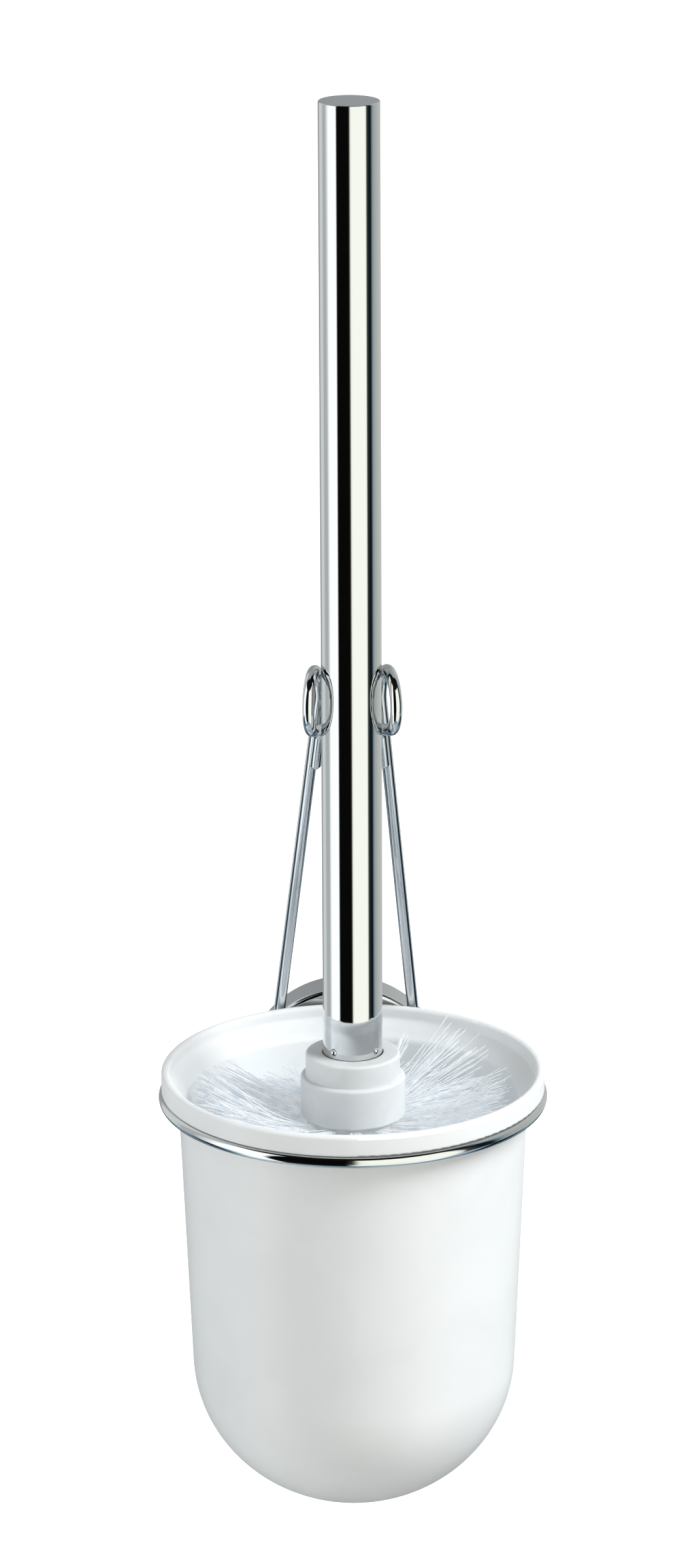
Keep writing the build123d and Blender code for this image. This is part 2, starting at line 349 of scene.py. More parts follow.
@dataclass(frozen=True)
class MachinedMetal:
    """Turned or coated metal with fine tool rings.

    Attributes:
        name: Name of the material.
        light: Colour of the crests.
        shade: Colour of the valleys and stains.
        roughness: Lowest roughness.
        roughness_spread: How much the roughness varies.
        stain_size: Size of the stains, in millimetres.
        ring_pitch: Spacing of the tool rings, in millimetres.
        ring_depth: Depth of the rings, in metres.
        spindle: Direction that the piece spun about.
    """

    name: str
    light: str
    shade: str
    roughness: float
    roughness_spread: float = 0.15
    stain_size: float = 3.5
    ring_pitch: float = 3.77  # Coarser than real tool rings, so that they show
    ring_depth: float = 6e-6
    spindle: Spindle = Spindle.UPRIGHT

    def make(self) -> bpy.types.Material:
        """Build the material: stained colour, tool rings and satin reflections.

        Returns:
            The material.
        """
        material, tree = new_material(self.name)
        place = add_node(tree, "ShaderNodeTexCoord")
        stain = add_node(
            tree,
            "ShaderNodeTexNoise",
            inputs={"Scale": PER_MM / self.stain_size, "Detail": 4.0},
            links={"Vector": place.outputs["Object"]},
        )
        tone = add_node(tree, "ShaderNodeValToRGB", links={"Fac": stain.outputs["Fac"]})
        set_stops(tone, ((0.35, linear(self.shade)), (0.6, linear(self.light))))
        rings = add_node(
            tree,
            "ShaderNodeTexWave",
            settings={"wave_type": "BANDS", "bands_direction": self.spindle.value},
            inputs={"Scale": math.tau * PER_MM / (WAVE_RATE * self.ring_pitch), "Distortion": 0.4},
            links={"Vector": place.outputs["Object"]},
        )
        bump = add_node(
            tree,
            "ShaderNodeBump",
            inputs={"Strength": 0.6, "Distance": self.ring_depth},
            links={"Height": rings.outputs["Fac"]},
        )
        satin = add_node(
            tree,
            "ShaderNodeMapRange",
            inputs={"To Min": self.roughness, "To Max": self.roughness + self.roughness_spread},
            links={"Value": stain.outputs["Fac"]},
        )
        shader = add_node(
            tree,
            "ShaderNodeBsdfPrincipled",
            inputs={"Metallic": 1.0},
            links={
                "Base Color": tone.outputs["Color"],
                "Roughness": satin.outputs["Result"],
                "Normal": bump.outputs["Normal"],
            },
        )
        add_node(tree, "ShaderNodeOutputMaterial", links={"Surface": shader.outputs["BSDF"]})
        return material


@dataclass(frozen=True)
class Monofilament:
    """Extruded translucent nylon monofilament.

    Attributes:
        name: Name of the material.
        light: Colour of most filaments.
        shade: Colour of the slightly darker ones.
        tone_size: Length of a tone change, in millimetres.
        roughness: Roughness of the drawn surface.
        ior: Index of refraction of polyamide.
        glow: Share of light that passes on through.
        painted_glow: Strength of a faint painted glow (emission) that lifts the shade deep in a bundle.
    """

    name: str = "extruded_nylon_monofilament"
    light: str = "#FDFEFF"
    shade: str = "#EEF3F7"
    tone_size: float = 2.5
    roughness: float = 0.28
    ior: float = 1.53
    glow: float = 0.45
    # Painted light: a faint emission that brightens the shaded filaments deep in a tuft.
    painted_glow: float = 0.2

    def make(self) -> bpy.types.Material:
        """Build the material: clear white, with small tone changes along each tuft and a faint painted
        glow.

        Returns:
            The material.
        """
        # Drawn nylon is milky and glossy and lets light through. A faint painted glow (emission) is
        # added as well, so a bundle of it looks bright white even where it is deep.
        material, tree = new_material(self.name)
        place = add_node(tree, "ShaderNodeTexCoord")
        change = add_node(
            tree,
            "ShaderNodeTexNoise",
            inputs={"Scale": PER_MM / self.tone_size, "Detail": 2.0},
            links={"Vector": place.outputs["Object"]},
        )
        tone = add_node(tree, "ShaderNodeValToRGB", links={"Fac": change.outputs["Fac"]})
        set_stops(tone, ((0.35, linear(self.shade)), (0.6, linear(self.light))))
        shader = add_node(
            tree,
            "ShaderNodeBsdfPrincipled",
            # The emission is painted light: a faint glow that lifts the shade between the filaments.
            inputs={"Roughness": self.roughness, "IOR": self.ior, "Emission Strength": self.painted_glow},
            links={"Base Color": tone.outputs["Color"], "Emission Color": tone.outputs["Color"]},
        )
        through = add_node(tree, "ShaderNodeBsdfTranslucent", links={"Color": tone.outputs["Color"]})
        both = add_node(
            tree,
            "ShaderNodeMixShader",
            inputs={"Fac": self.glow},
            links={1: shader.outputs["BSDF"], 2: through.outputs["BSDF"]},
        )
        add_node(tree, "ShaderNodeOutputMaterial", links={"Surface": both.outputs["Shader"]})
        return material


# ------------------------------------------------------------------- sub-assemblies
@dataclass
class WallFrame:
    """Chrome cover, its hidden fixing and the welded wire ring and uprights."""

    body: Body = Body.WALL_FRAME
    bright: tuple[str, ...] = ("wall_cover", "bowl_ring", "upright_left", "upright_right")
    chrome: ChromePlate = field(default_factory=ChromePlate)
    # Zinc over turned steel: a dull blue-grey.
    collar: MachinedMetal = MachinedMetal(
        name="zinc_plated_turned_steel",
        light="#C3C7CC",
        shade="#A3A8B0",
        roughness=0.3,
        spindle=Spindle.WALLWARD,
    )
    # Black oxide: nearly black, with a slight oily sheen.
    screw: MachinedMetal = MachinedMetal(
        name="black_oxide_steel",
        light="#3A3A3D",
        shade="#242427",
        roughness=0.35,
    )
    # Glass-filled nylon: matte grey, with a coarse grain where the fibres show.
    plate: MouldedPlastic = MouldedPlastic(
        name="moulded_glass_filled_nylon",
        light="#8E9297",
        shade="#7F8388",
        roughness=0.55,
        glow=0.0,
        grain_size=0.5,
        grain_depth=2e-5,
    )

    def dress(self, bright_material: bpy.types.Material) -> None:
        """Give each node of the wall frame its finish.

        Args:
            bright_material: Chrome shared by the bright parts of the set.
        """
        for name in self.bright:
            coat(self.body, name, bright_material)
        coat(self.body, "cover_collar", self.collar.make())
        coat(self.body, "grub_screw", self.screw.make())
        coat(self.body, "wall_plate", self.plate.make())


@dataclass
class Bowl:
    """White bowl that hangs in the ring."""

    body: Body = Body.BOWL
    # Polypropylene: a bright, nearly neutral white with a waxy, satin surface.
    plastic: MouldedPlastic = MouldedPlastic(
        name="moulded_white_polypropylene",
        light="#F3F5F5",
        shade="#EEF0F0",
        roughness=0.34,
        glow=0.2,
        glow_depth=0.002,
    )

    def dress(self) -> None:
        """Give the bowl its finish."""
        coat(self.body, "bowl", self.plastic.make())


@dataclass
class Handle:
    """Chrome tube with its cap and its brass bush."""

    body: Body = Body.HANDLE
    # Free-cutting brass: warm yellow, with turning rings.
    bush: MachinedMetal = MachinedMetal(
        name="turned_brass",
        light="#D9B56A",
        shade="#B8924A",
        roughness=0.25,
    )

    def dress(self, bright_material: bpy.types.Material) -> None:
        """Give each node of the handle its finish.

        Args:
            bright_material: Chrome shared by the bright parts of the set.
        """
        coat(self.body, "handle_tube", bright_material)
        coat(self.body, "handle_cap", bright_material)
        coat(self.body, "handle_insert", self.bush.make())


@dataclass
class Root:
    """One tuft or stray filament, where it leaves the core.

    Attributes:
        place: Point inside the tuft's hole.
        aim: Direction of the tuft.
        reach: Length of its filaments.
        sweep: How far the tips are bent aside, as a share of the reach.
        count: Number of filaments.
        loose: How far they spread, from 0 to 1 and beyond.
        wall: Radius that no filament passes.
    """

    place: Vector
    aim: Vector
    reach: float
    sweep: Vector
    count: int
    loose: float
    wall: float


@dataclass(frozen=True)
class Filaments:
    """How the filaments of a tuft are drawn.

    Attributes:
        count: Number in each tuft.
        radius: Radius of each, in metres. Real ones are finer and more.
        points: Points along each.
        loose: How far they spread, where 1 is as far as a worn tuft.
    """

    count: int
    radius: float
    points: int
    loose: float


@dataclass
class BrushHead:
    """Tufted core with its collar, and the bristles set in it."""

    body: Body = Body.BRUSH_HEAD
    # Polyethylene: a duller white than the bowl, and more even.
    plastic: MouldedPlastic = MouldedPlastic(
        name="moulded_white_polyethylene",
        light="#E2E4E4",
        shade="#DBDDDD",
        roughness=0.42,
        glow=0.25,
        glow_depth=0.0025,
        flow_size=9.0,
        grain_size=0.6,
    )
    filament: Monofilament = field(default_factory=Monofilament)
    rows: int = 9
    tufts_per_row: int = 12
    core_radius: float = 12.5 * MM
    root_depth: float = 1.5 * MM
    brush_radius: float = 41.2 * MM
    mouth_radius: float = 43.4 * MM
    tuft_radius: float = 1.25 * MM
    showing_rows: int = 2
    full: Filaments = Filaments(180, 0.14 * MM, 6, 1.0)
    deep: Filaments = Filaments(44, 0.19 * MM, 5, 0.45)
    # The top row, by direction round the core from +X in degrees: how far the tips
    # rise, and what share of the filaments is left.
    splay: tuple[tuple[float, float, float], ...] = (
        (0.0, 0.14, 0.6), (30.0, -0.06, 0.5), (60.0, -0.14, 0.6),
        (90.0, -0.18, 0.9), (120.0, -0.16, 0.9), (150.0, 0.02, 1.0),
        (180.0, 0.27, 1.0), (210.0, 0.24, 1.0), (240.0, 0.08, 1.0),
        (300.0, 0.02, 1.0), (330.0, 0.1, 0.9), (360.0, 0.14, 0.6),
    )
    second_row: float = 0.5  # Rise of the second row, as a share of the first one's
    tip_rings: tuple[tuple[float, int], ...] = ((30.0, 12), (60.0, 6), (90.0, 1))
    tip_radius: float = 40.9 * MM
    tip_depth: float = 38.0 * MM
    tip_share: float = 0.985  # Reach of the tip's tufts, as a share of the room they have
    tip_loose: float = 0.3
    # Strays: direction round the core and rise in degrees, reach, number and spread.
    strays: tuple[tuple[float, float, float, int, float], ...] = (
        (46.0, 21.0, 34.0, 14, 0.45), (38.0, 22.0, 33.0, 12, 0.5), (52.0, 15.0, 31.0, 9, 0.6),
        (28.0, 12.0, 33.0, 8, 0.8), (14.0, 9.0, 34.0, 10, 0.9), (24.0, 27.0, 34.0, 3, 0.3),
        (8.0, 21.0, 33.0, 3, 0.3), (45.0, 38.0, 34.0, 1, 0.0), (62.0, 33.0, 25.0, 7, 0.5),
        (72.0, 47.0, 27.0, 1, 0.0), (170.0, 30.0, 28.0, 5, 0.8),
    )
    # How the filaments of a tuft differ from each other.
    filled: float = 0.75  # Share of the tuft's hole that their roots fill
    spread: float = 0.13
    uneven: float = 0.1
    bow: float = 0.1
    seed: int = 7

    def axis(self) -> Vector:
        """Centre of the core, level with the origin."""
        low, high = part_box("tuft_row_1")
        return Vector(((low.x + high.x) / 2, (low.y + high.y) / 2, 0.0))

    def splay_at(self, direction: float) -> tuple[float, float]:
        """Read how the top row is splayed.

        Args:
            direction: Direction round the core from +X, in degrees.

        Returns:
            Rise as a share of the filament's reach, and the share of filaments left.
        """
        for (left, *low), (right, *high) in zip(self.splay, self.splay[1:]):
            if direction <= right:
                part = (direction - left) / (right - left)
                return tuple(a + (b - a) * part for a, b in zip(low, high))
        return self.splay[-1][1:]

    def row_roots(self, row: int) -> Iterator[Root]:
        """Work out the tufts of one row.

        Args:
            row: Number of the row, from 0 at the top.

        Yields:
            The row's tufts.
        """
        low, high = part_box(f"tuft_row_{row + 1}")
        height = (low.z + high.z) / 2
        shows = row < self.showing_rows
        drawn = self.full if shows else self.deep
        start = self.core_radius - self.root_depth
        for number in range(self.tufts_per_row):
            turn = math.tau * (number + row % 2 / 2) / self.tufts_per_row
            out = Vector((math.cos(turn), math.sin(turn), 0.0))
            # The top rows are splayed up by the ones below, more at the sides.
            rise, share = self.splay_at(math.degrees(turn)) if shows else (0.0, 1.0)
            if row > 0:
                rise, share = rise * self.second_row, 1.0
            yield Root(
                place=self.axis() + out * start + Vector((0, 0, height)),
                aim=out,
                reach=self.brush_radius - start,
                sweep=Vector((0, 0, rise)),
                count=round(drawn.count * share),
                loose=drawn.loose,
                wall=self.mouth_radius if shows else self.brush_radius,
            )

    def tip_roots(self) -> Iterator[Root]:
        """Work out the tufts on the core's round end.

        Yields:
            The tip's tufts.
        """
        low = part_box("tip_tufts")[0]
        middle = self.axis() + Vector((0, 0, low.z + self.tip_depth))
        start = self.core_radius - self.root_depth
        for drop, count in self.tip_rings:
            slope = math.radians(drop)
            across, along = math.cos(slope), math.sin(slope)
            room = 1 / math.hypot(across / self.tip_radius, along / self.tip_depth)
            for number in range(count):
                turn = math.tau * (number + 0.5) / count
                out = Vector((across * math.cos(turn), across * math.sin(turn), -along))
                yield Root(
                    place=middle + out * start,
                    aim=out,
                    reach=room * self.tip_share - start,
                    sweep=Vector(),
                    count=self.deep.count,
                    loose=self.tip_loose,
                    wall=self.brush_radius,
                )

    def stray_roots(self) -> Iterator[Root]:
        """Work out the filaments that stand away from the rest.

        Yields:
            The strays.
        """
        low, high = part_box("tuft_row_1")
        height = (low.z + high.z) / 2
        for direction, rise, reach, count, loose in self.strays:
            turn, up = math.radians(direction), math.radians(rise)
            out = Vector((math.cos(turn), math.sin(turn), 0.0))
            yield Root(
                place=self.axis() + out * self.core_radius + Vector((0, 0, height)),
                aim=out * math.cos(up) + Vector((0, 0, math.sin(up))),
                reach=reach * MM,
                sweep=Vector(),
                count=count,
                loose=loose,
                wall=self.mouth_radius,
            )

    def root_mesh(self, roots: Sequence[Root]) -> bpy.types.Object:
        """Store the roots as points with their facts as attributes.

        Args:
            roots: Tufts and strays.

        Returns:
            An object of loose points.
        """
        mesh = bpy.data.meshes.new("bristle_roots")
        mesh.from_pydata([root.place for root in roots], [], [])
        for name in ("aim", "sweep", "reach", "loose", "wall", "count"):
            layer = mesh.attributes.new(name, STORED[name], "POINT")
            values = [getattr(root, name) for root in roots]
            if STORED[name] == "FLOAT_VECTOR":
                layer.data.foreach_set("vector", [part for value in values for part in value])
            else:
                layer.data.foreach_set("value", values)
        points = bpy.data.objects.new("bristle_roots", mesh)
        bpy.context.collection.objects.link(points)
        return points

    def bristle_tree(self, material: bpy.types.Material) -> bpy.types.NodeTree:
        """Build the Geometry Nodes tree that grows filaments from the roots.

        Args:
            material: Finish of the filaments.

        Returns:
            The node tree.
        """
        tree = bpy.data.node_groups.new("grow_bristles", "GeometryNodeTree")
        face = tree.interface
        face.new_socket("Geometry", in_out="INPUT", socket_type="NodeSocketGeometry")
        for name, kind in (
            ("Tuft Radius", "NodeSocketFloat"),
            ("Filament Radius", "NodeSocketFloat"),
            ("Points", "NodeSocketInt"),
            ("Spread", "NodeSocketFloat"),
            ("Shortest", "NodeSocketFloat"),
            ("Bow", "NodeSocketFloat"),
            ("Axis", "NodeSocketVector"),
            ("Seed", "NodeSocketInt"),
        ):
            face.new_socket(name, in_out="INPUT", socket_type=kind)
        face.new_socket("Geometry", in_out="OUTPUT", socket_type="NodeSocketGeometry")
        given = add_node(tree, "NodeGroupInput").outputs
        found = {name: given[name] for name in ("Tuft Radius", "Spread", "Bow", "Axis")}
        found["place"] = add_node(tree, "GeometryNodeInputPosition").outputs["Position"]
        found["part"] = add_node(tree, "GeometryNodeSplineParameter").outputs["Factor"]
        for name, kind in STORED.items():
            stored = add_node(
                tree,
                "GeometryNodeInputNamedAttribute",
                settings={"data_type": kind},
                inputs={"Name": name},
            )
            found[name] = stored.outputs["Attribute"]
        # Four random draws for each filament: its hole, its lean, its bend and its cut.
        for step, name in enumerate(("any hole", "any lean", "any bend", "any cut")):
            seed = add_node(tree, "ShaderNodeMath", inputs={1: step}, links={0: given["Seed"]})
            draw = add_node(
                tree,
                "FunctionNodeRandomValue",
                settings={"data_type": "FLOAT" if name == "any cut" else "FLOAT_VECTOR"},
                inputs={0: (-1.0, -1.0, -1.0), 1: (1.0, 1.0, 1.0), 3: 1.0},
                links={2: given["Shortest"], "Seed": seed.outputs["Value"]},
            )
            found[name] = next(socket for socket in draw.outputs if socket.enabled)
        # Each filament runs straight along its heading and bends more towards its tip.
        # What would pass the wall is moved straight back in to it.
        vector, number = "ShaderNodeVectorMath", "ShaderNodeMath"
        for name, kind, operation, sources in (
            ("along", vector, "PROJECT", {0: "any hole", 1: "aim"}),
            ("side", vector, "SUBTRACT", {0: "any hole", 1: "along"}),
            ("own root", vector, "MULTIPLY_ADD", {0: "side", 1: "Tuft Radius", 2: "place"}),
            ("stir", vector, "ADD", {0: "side", 1: "any lean"}),
            ("sway", vector, "SCALE", {0: "stir", "Scale": "Spread"}),
            ("lean", vector, "MULTIPLY_ADD", {0: "sway", 1: "loose", 2: "aim"}),
            ("own heading", vector, "NORMALIZE", {0: "lean"}),
            ("own length", number, "MULTIPLY", {0: "reach", 1: "any cut"}),
            ("bend", vector, "SCALE", {0: "any bend", "Scale": "Bow"}),
            ("own bow", vector, "MULTIPLY_ADD", {0: "bend", 1: "loose", 2: "sweep"}),
            ("run", number, "MULTIPLY", {0: "length", 1: "part"}),
            ("late", number, "MULTIPLY", {0: "run", 1: "part"}),
            ("straight", vector, "MULTIPLY_ADD", {0: "heading", 1: "run", 2: "root"}),
            ("curved", vector, "MULTIPLY_ADD", {0: "bow", 1: "late", 2: "straight"}),
            ("flat", vector, "MULTIPLY", {0: "curved", 1: (1.0, 1.0, 0.0)}),
            ("out", vector, "SUBTRACT", {0: "flat", 1: "Axis"}),
            ("far", vector, "LENGTH", {0: "out"}),
            ("spare", number, "SUBTRACT", {0: "wall", 1: "far"}),
            ("over", number, "MINIMUM", {0: "spare", 1: 0.0}),
            ("share", number, "DIVIDE", {0: "over", 1: "far"}),
            ("back", vector, "SCALE", {0: "out", "Scale": "share"}),
        ):
            named = {key: source for key, source in sources.items() if isinstance(source, str)}
            step = add_node(
                tree,
                kind,
                settings={"operation": operation},
                inputs={key: value for key, value in sources.items() if key not in named},
                links={key: found[source] for key, source in named.items()},
            )
            one_number = kind == number or operation == "LENGTH"
            found[name] = step.outputs["Value" if one_number else "Vector"]
        copies = add_node(
            tree,
            "GeometryNodeDuplicateElements",
            settings={"domain": "POINT"},
            links={"Geometry": given["Geometry"], "Amount": found["count"]},
        )
        grown = copies.outputs["Geometry"]
        for name in ("root", "heading", "length", "bow"):
            kept = add_node(
                tree,
                "GeometryNodeStoreNamedAttribute",
                settings={"data_type": STORED[name], "domain": "POINT"},
                inputs={"Name": name},
                links={"Geometry": grown, "Value": found[f"own {name}"]},
            )
            grown = kept.outputs["Geometry"]
        line = add_node(tree, "GeometryNodeCurvePrimitiveLine")
        steps = add_node(
            tree,
            "GeometryNodeResampleCurve",
            links={"Curve": line.outputs["Curve"], "Count": given["Points"]},
        )
        planted = add_node(
            tree,
            "GeometryNodeInstanceOnPoints",
            links={"Points": grown, "Instance": steps.outputs["Curve"]},
        )
        curves = add_node(
            tree, "GeometryNodeRealizeInstances", links={"Geometry": planted.outputs["Instances"]}
        )
        bent = add_node(
            tree,
            "GeometryNodeSetPosition",
            links={
                "Geometry": curves.outputs["Geometry"],
                "Position": found["curved"],
                "Offset": found["back"],
            },
        )
        # Filaments are drawn three-sided, which is enough for their size.
        profile = add_node(
            tree,
            "GeometryNodeCurvePrimitiveCircle",
            inputs={"Resolution": 3},
            links={"Radius": given["Filament Radius"]},
        )
        tubes = add_node(
            tree,
            "GeometryNodeCurveToMesh",
            links={"Curve": bent.outputs["Geometry"], "Profile Curve": profile.outputs["Curve"]},
        )
        whole = add_node(tree, "GeometryNodeRealizeInstances", links={"Geometry": tubes.outputs["Mesh"]})
        dressed = add_node(
            tree,
            "GeometryNodeSetMaterial",
            inputs={"Material": material},
            links={"Geometry": whole.outputs["Geometry"]},
        )
        add_node(tree, "NodeGroupOutput", links={"Geometry": dressed.outputs["Geometry"]})
        return tree

    def grow(
        self,
        name: str,
        roots: Sequence[Root],
        tree: bpy.types.NodeTree,
        material: bpy.types.Material,
        drawn: Filaments,
        tufts: Sequence[str],
    ) -> None:
        """Grow one group of bristles and stand them in for their solid tufts.

        Args:
            name: Name of the piece.
            roots: Where its filaments start.
            tree: Geometry Nodes tree that grows them.
            material: Finish of the filaments.
            drawn: How its filaments are drawn.
            tufts: CAD nodes that the piece replaces.
        """
        points = self.root_mesh(roots)
        grow = points.modifiers.new("grow", "NODES")
        grow.node_group = tree
        values = {
            "Tuft Radius": self.tuft_radius * self.filled,
            "Filament Radius": drawn.radius,
            "Points": drawn.points,
            "Spread": self.spread,
            "Shortest": 1.0 - self.uneven,
            "Bow": self.bow,
            "Axis": self.axis(),
            "Seed": self.seed,
        }
        for item in tree.interface.items_tree:
            if item.in_out == "INPUT" and item.name in values:
                grow[item.identifier] = values[item.name]
        evaluated = points.evaluated_get(bpy.context.evaluated_depsgraph_get())
        mesh = bpy.data.meshes.new_from_object(evaluated)
        points.modifiers.remove(grow)
        bpy.data.objects.remove(points)
        mesh.name = name
        for layer_name in STORED:
            layer = mesh.attributes.get(layer_name)
            if layer is not None:
                mesh.attributes.remove(layer)
        mesh.shade_smooth()
        mesh.materials.clear()
        mesh.materials.append(material)
        bristles = bpy.data.objects.new(name, mesh)
        bpy.context.collection.objects.link(bristles)
        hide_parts(*tufts)
        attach(bristles, self.body.value)
        LOG.info("%s: %d faces from %d roots", name, len(mesh.polygons), len(roots))

    def build(self) -> None:
        """Grow the showing bristles and the deep ones."""
        material = self.filament.make()
        tree = self.bristle_tree(material)
        names = [f"tuft_row_{row + 1}" for row in range(self.rows)]
        rows = [list(self.row_roots(row)) for row in range(self.rows)]
        top = [*sum(rows[:self.showing_rows], []), *self.stray_roots()]
        low = [*sum(rows[self.showing_rows:], []), *self.tip_roots()]
        top_tufts, low_tufts = names[:self.showing_rows], names[self.showing_rows:] + ["tip_tufts"]
        self.grow("top_bristles", top, tree, material, self.full, top_tufts)
        self.grow("deep_bristles", low, tree, material, self.deep, low_tufts)

    def dress(self) -> None:
        """Give the core its finish."""
        coat(self.body, "brush_core", self.plastic.make())


# --------------------------------------------------------------------------- studio
@dataclass(frozen=True)
class Softbox:
    """Soft area light.

    Attributes:
        name: Name of the light.
        direction: Bearing from the set, from the front towards +X, in degrees.
        height: Elevation above the set, in degrees.
        distance: Distance from the set, in metres.
        width: Width in metres.
        tall: Height in metres.
        power: Power in watts.
        colour: Colour of the light.
    """

    name: str
    direction: float
    height: float
    distance: float
    width: float
    tall: float
    power: float
    colour: str

    def place(self, target: Vector) -> None:
        """Make the light and aim it.

        Args:
            target: Point that the light faces.
        """
        turn, up = math.radians(self.direction), math.radians(self.height)
        away = Vector((math.sin(turn) * math.cos(up), -math.cos(turn) * math.cos(up), math.sin(up)))
        lamp = bpy.data.lights.new(self.name, "AREA")
        lamp.shape = "RECTANGLE"
        lamp.size, lamp.size_y = self.width, self.tall
        lamp.energy = self.power
        lamp.color = linear(self.colour)[:3]
        holder = bpy.data.objects.new(self.name, lamp)
        holder.location = target + away * self.distance
        holder.rotation_euler = away.to_track_quat("Z", "Y").to_euler()
        holder.visible_glossy = False
        bpy.context.collection.objects.link(holder)


@dataclass
class Studio:
    """Pale floor, white backdrop, soft light, and the cards that the chrome mirrors."""

    floor_height: float = -0.5
    floor_half: float = 15.0
    surround_radius: float = 1.2
    target: Vector = field(default_factory=lambda: Vector((0.0, -0.063, 0.06)))
    # What the chrome mirrors, by bearing from the front towards +X, in degrees:
    # cards round the set, the dark room and pale wall above them, the floor below.
    cards: tuple[tuple[float, str], ...] = (
        (-180.0, "#858789"), (-151.0, "#8E9091"), (-143.0, "#C4C6C5"), (-124.0, "#C4C6C5"),
        (-116.0, "#A7A9A8"), (-104.0, "#A7A9A8"), (-92.0, "#DEDEDC"), (-86.0, "#FFFFFF"),
        (-54.0, "#FFFFFF"), (-50.0, "#151613"), (-46.0, "#080807"), (-6.0, "#080807"),
        (-2.0, "#3A3A30"), (2.0, "#EAEADD"), (8.0, "#F7F7EC"), (58.0, "#F7F7EC"),
        (62.0, "#D8D8CE"), (65.0, "#3C3F3B"), (74.0, "#10191C"), (84.0, "#10191C"),
        (92.0, "#7D8B92"), (100.0, "#9BA1A0"), (120.0, "#ACAEA8"), (148.0, "#B4B6B3"),
        (180.0, "#858789"),
    )
    above: tuple[tuple[float, str], ...] = (
        (-180.0, "#929596"), (-112.0, "#9A9D9E"), (-98.0, "#101010"), (96.0, "#0E0E0E"),
        (112.0, "#9A9D9C"), (180.0, "#929596"),
    )
    skirt: tuple[tuple[float, str], ...] = (
        (-180.0, "#3E484E"), (-152.0, "#49545A"), (-128.0, "#7E939E"), (-112.0, "#2A3940"),
        (-96.0, "#1C2A31"), (-88.0, "#7F909A"), (-78.0, "#C4D6DE"), (-70.0, "#FFFFFF"),
        (-54.0, "#FFFFFF"), (-50.0, "#151613"), (-6.0, "#080807"), (2.0, "#EAEADD"),
        (58.0, "#F7F7EC"), (64.0, "#B0BEC5"), (84.0, "#7F909A"), (90.0, "#0E1A20"),
        (117.0, "#10191E"), (125.0, "#7E939E"), (152.0, "#49545A"), (180.0, "#3E484E"),
    )
    floor_tones: tuple[tuple[float, str], ...] = (
        (-180.0, "#49545A"), (-125.0, "#65787F"), (-108.0, "#78888F"), (-102.0, "#E4F2F7"),
        (-90.0, "#E4F2F7"), (-82.0, "#72838B"), (-55.0, "#8296A0"), (-12.0, "#6E8089"),
        (12.0, "#6E8089"), (34.0, "#94A8B1"), (55.0, "#B3C5CD"), (66.0, "#7B8F99"),
        (96.0, "#8398A3"), (125.0, "#65787F"), (180.0, "#49545A"),
    )
    card_strength: float = 1.5
    # Heights where one of the surround's bands has ended and the next is full, in degrees.
    skirt_edge: tuple[float, float] = (-55.0, -51.0)
    card_edge: tuple[float, float] = (-25.5, -22.5)
    above_edge: tuple[float, float] = (46.0, 50.0)
    room: tuple[tuple[float, str], ...] = (
        (0.0, "#D4D4D0"), (0.5, "#BFBFBE"), (0.75, "#AEAFB0"), (1.0, "#A6A9AA"),
    )
    floor_glow: float = 0.85
    backdrop_share: float = 0.95  # Radius of the backdrop, as a share of the floor's half
    backdrop_faces: int = 64  # Faces round each ball
    surround_faces: int = 96
    pole_gap: float = 0.02  # Hole at a ball's poles, as a share of one ring
    softboxes: tuple[Softbox, ...] = (
        Softbox("key_right", 70.0, 42.0, 1.6, 0.8, 0.9, 27.0, "#FAFDFF"),
        Softbox("fill_left", -78.0, 2.0, 1.6, 0.9, 0.9, 6.5, "#F2F9FF"),
        Softbox("front", -12.0, 4.0, 1.8, 0.9, 0.9, 3.2, "#FFF7EC"),
    )

    def sphere(self, name: str, radius: float, centre: Vector, around: int) -> bpy.types.Object:
        """Make a ball that surrounds the set, facing inwards.

        Args:
            name: Name of the object.
            radius: Radius in metres.
            centre: Middle of the ball.
            around: Number of faces round it.

        Returns:
            The ball, as a stage object.
        """
        rings, pole = around // 2, self.pole_gap
        points = []
        for ring in range(rings + 1):
            tilt = math.pi * (ring + pole) / (rings + 2 * pole)
            for step in range(around):
                turn = math.tau * step / around
                across, up = math.sin(tilt), math.cos(tilt)
                out = Vector((across * math.cos(turn), across * math.sin(turn), up))
                points.append(centre + out * radius)
        faces = []
        for ring in range(rings):
            for step in range(around):
                here, ahead = ring * around + step, ring * around + (step + 1) % around
                faces.append((here, ahead, ahead + around, here + around))
        mesh = bpy.data.meshes.new(name)
        mesh.from_pydata(points, [], faces)
        mesh.shade_smooth()
        ball = bpy.data.objects.new(name, mesh)
        bpy.context.collection.objects.link(ball)
        return ball

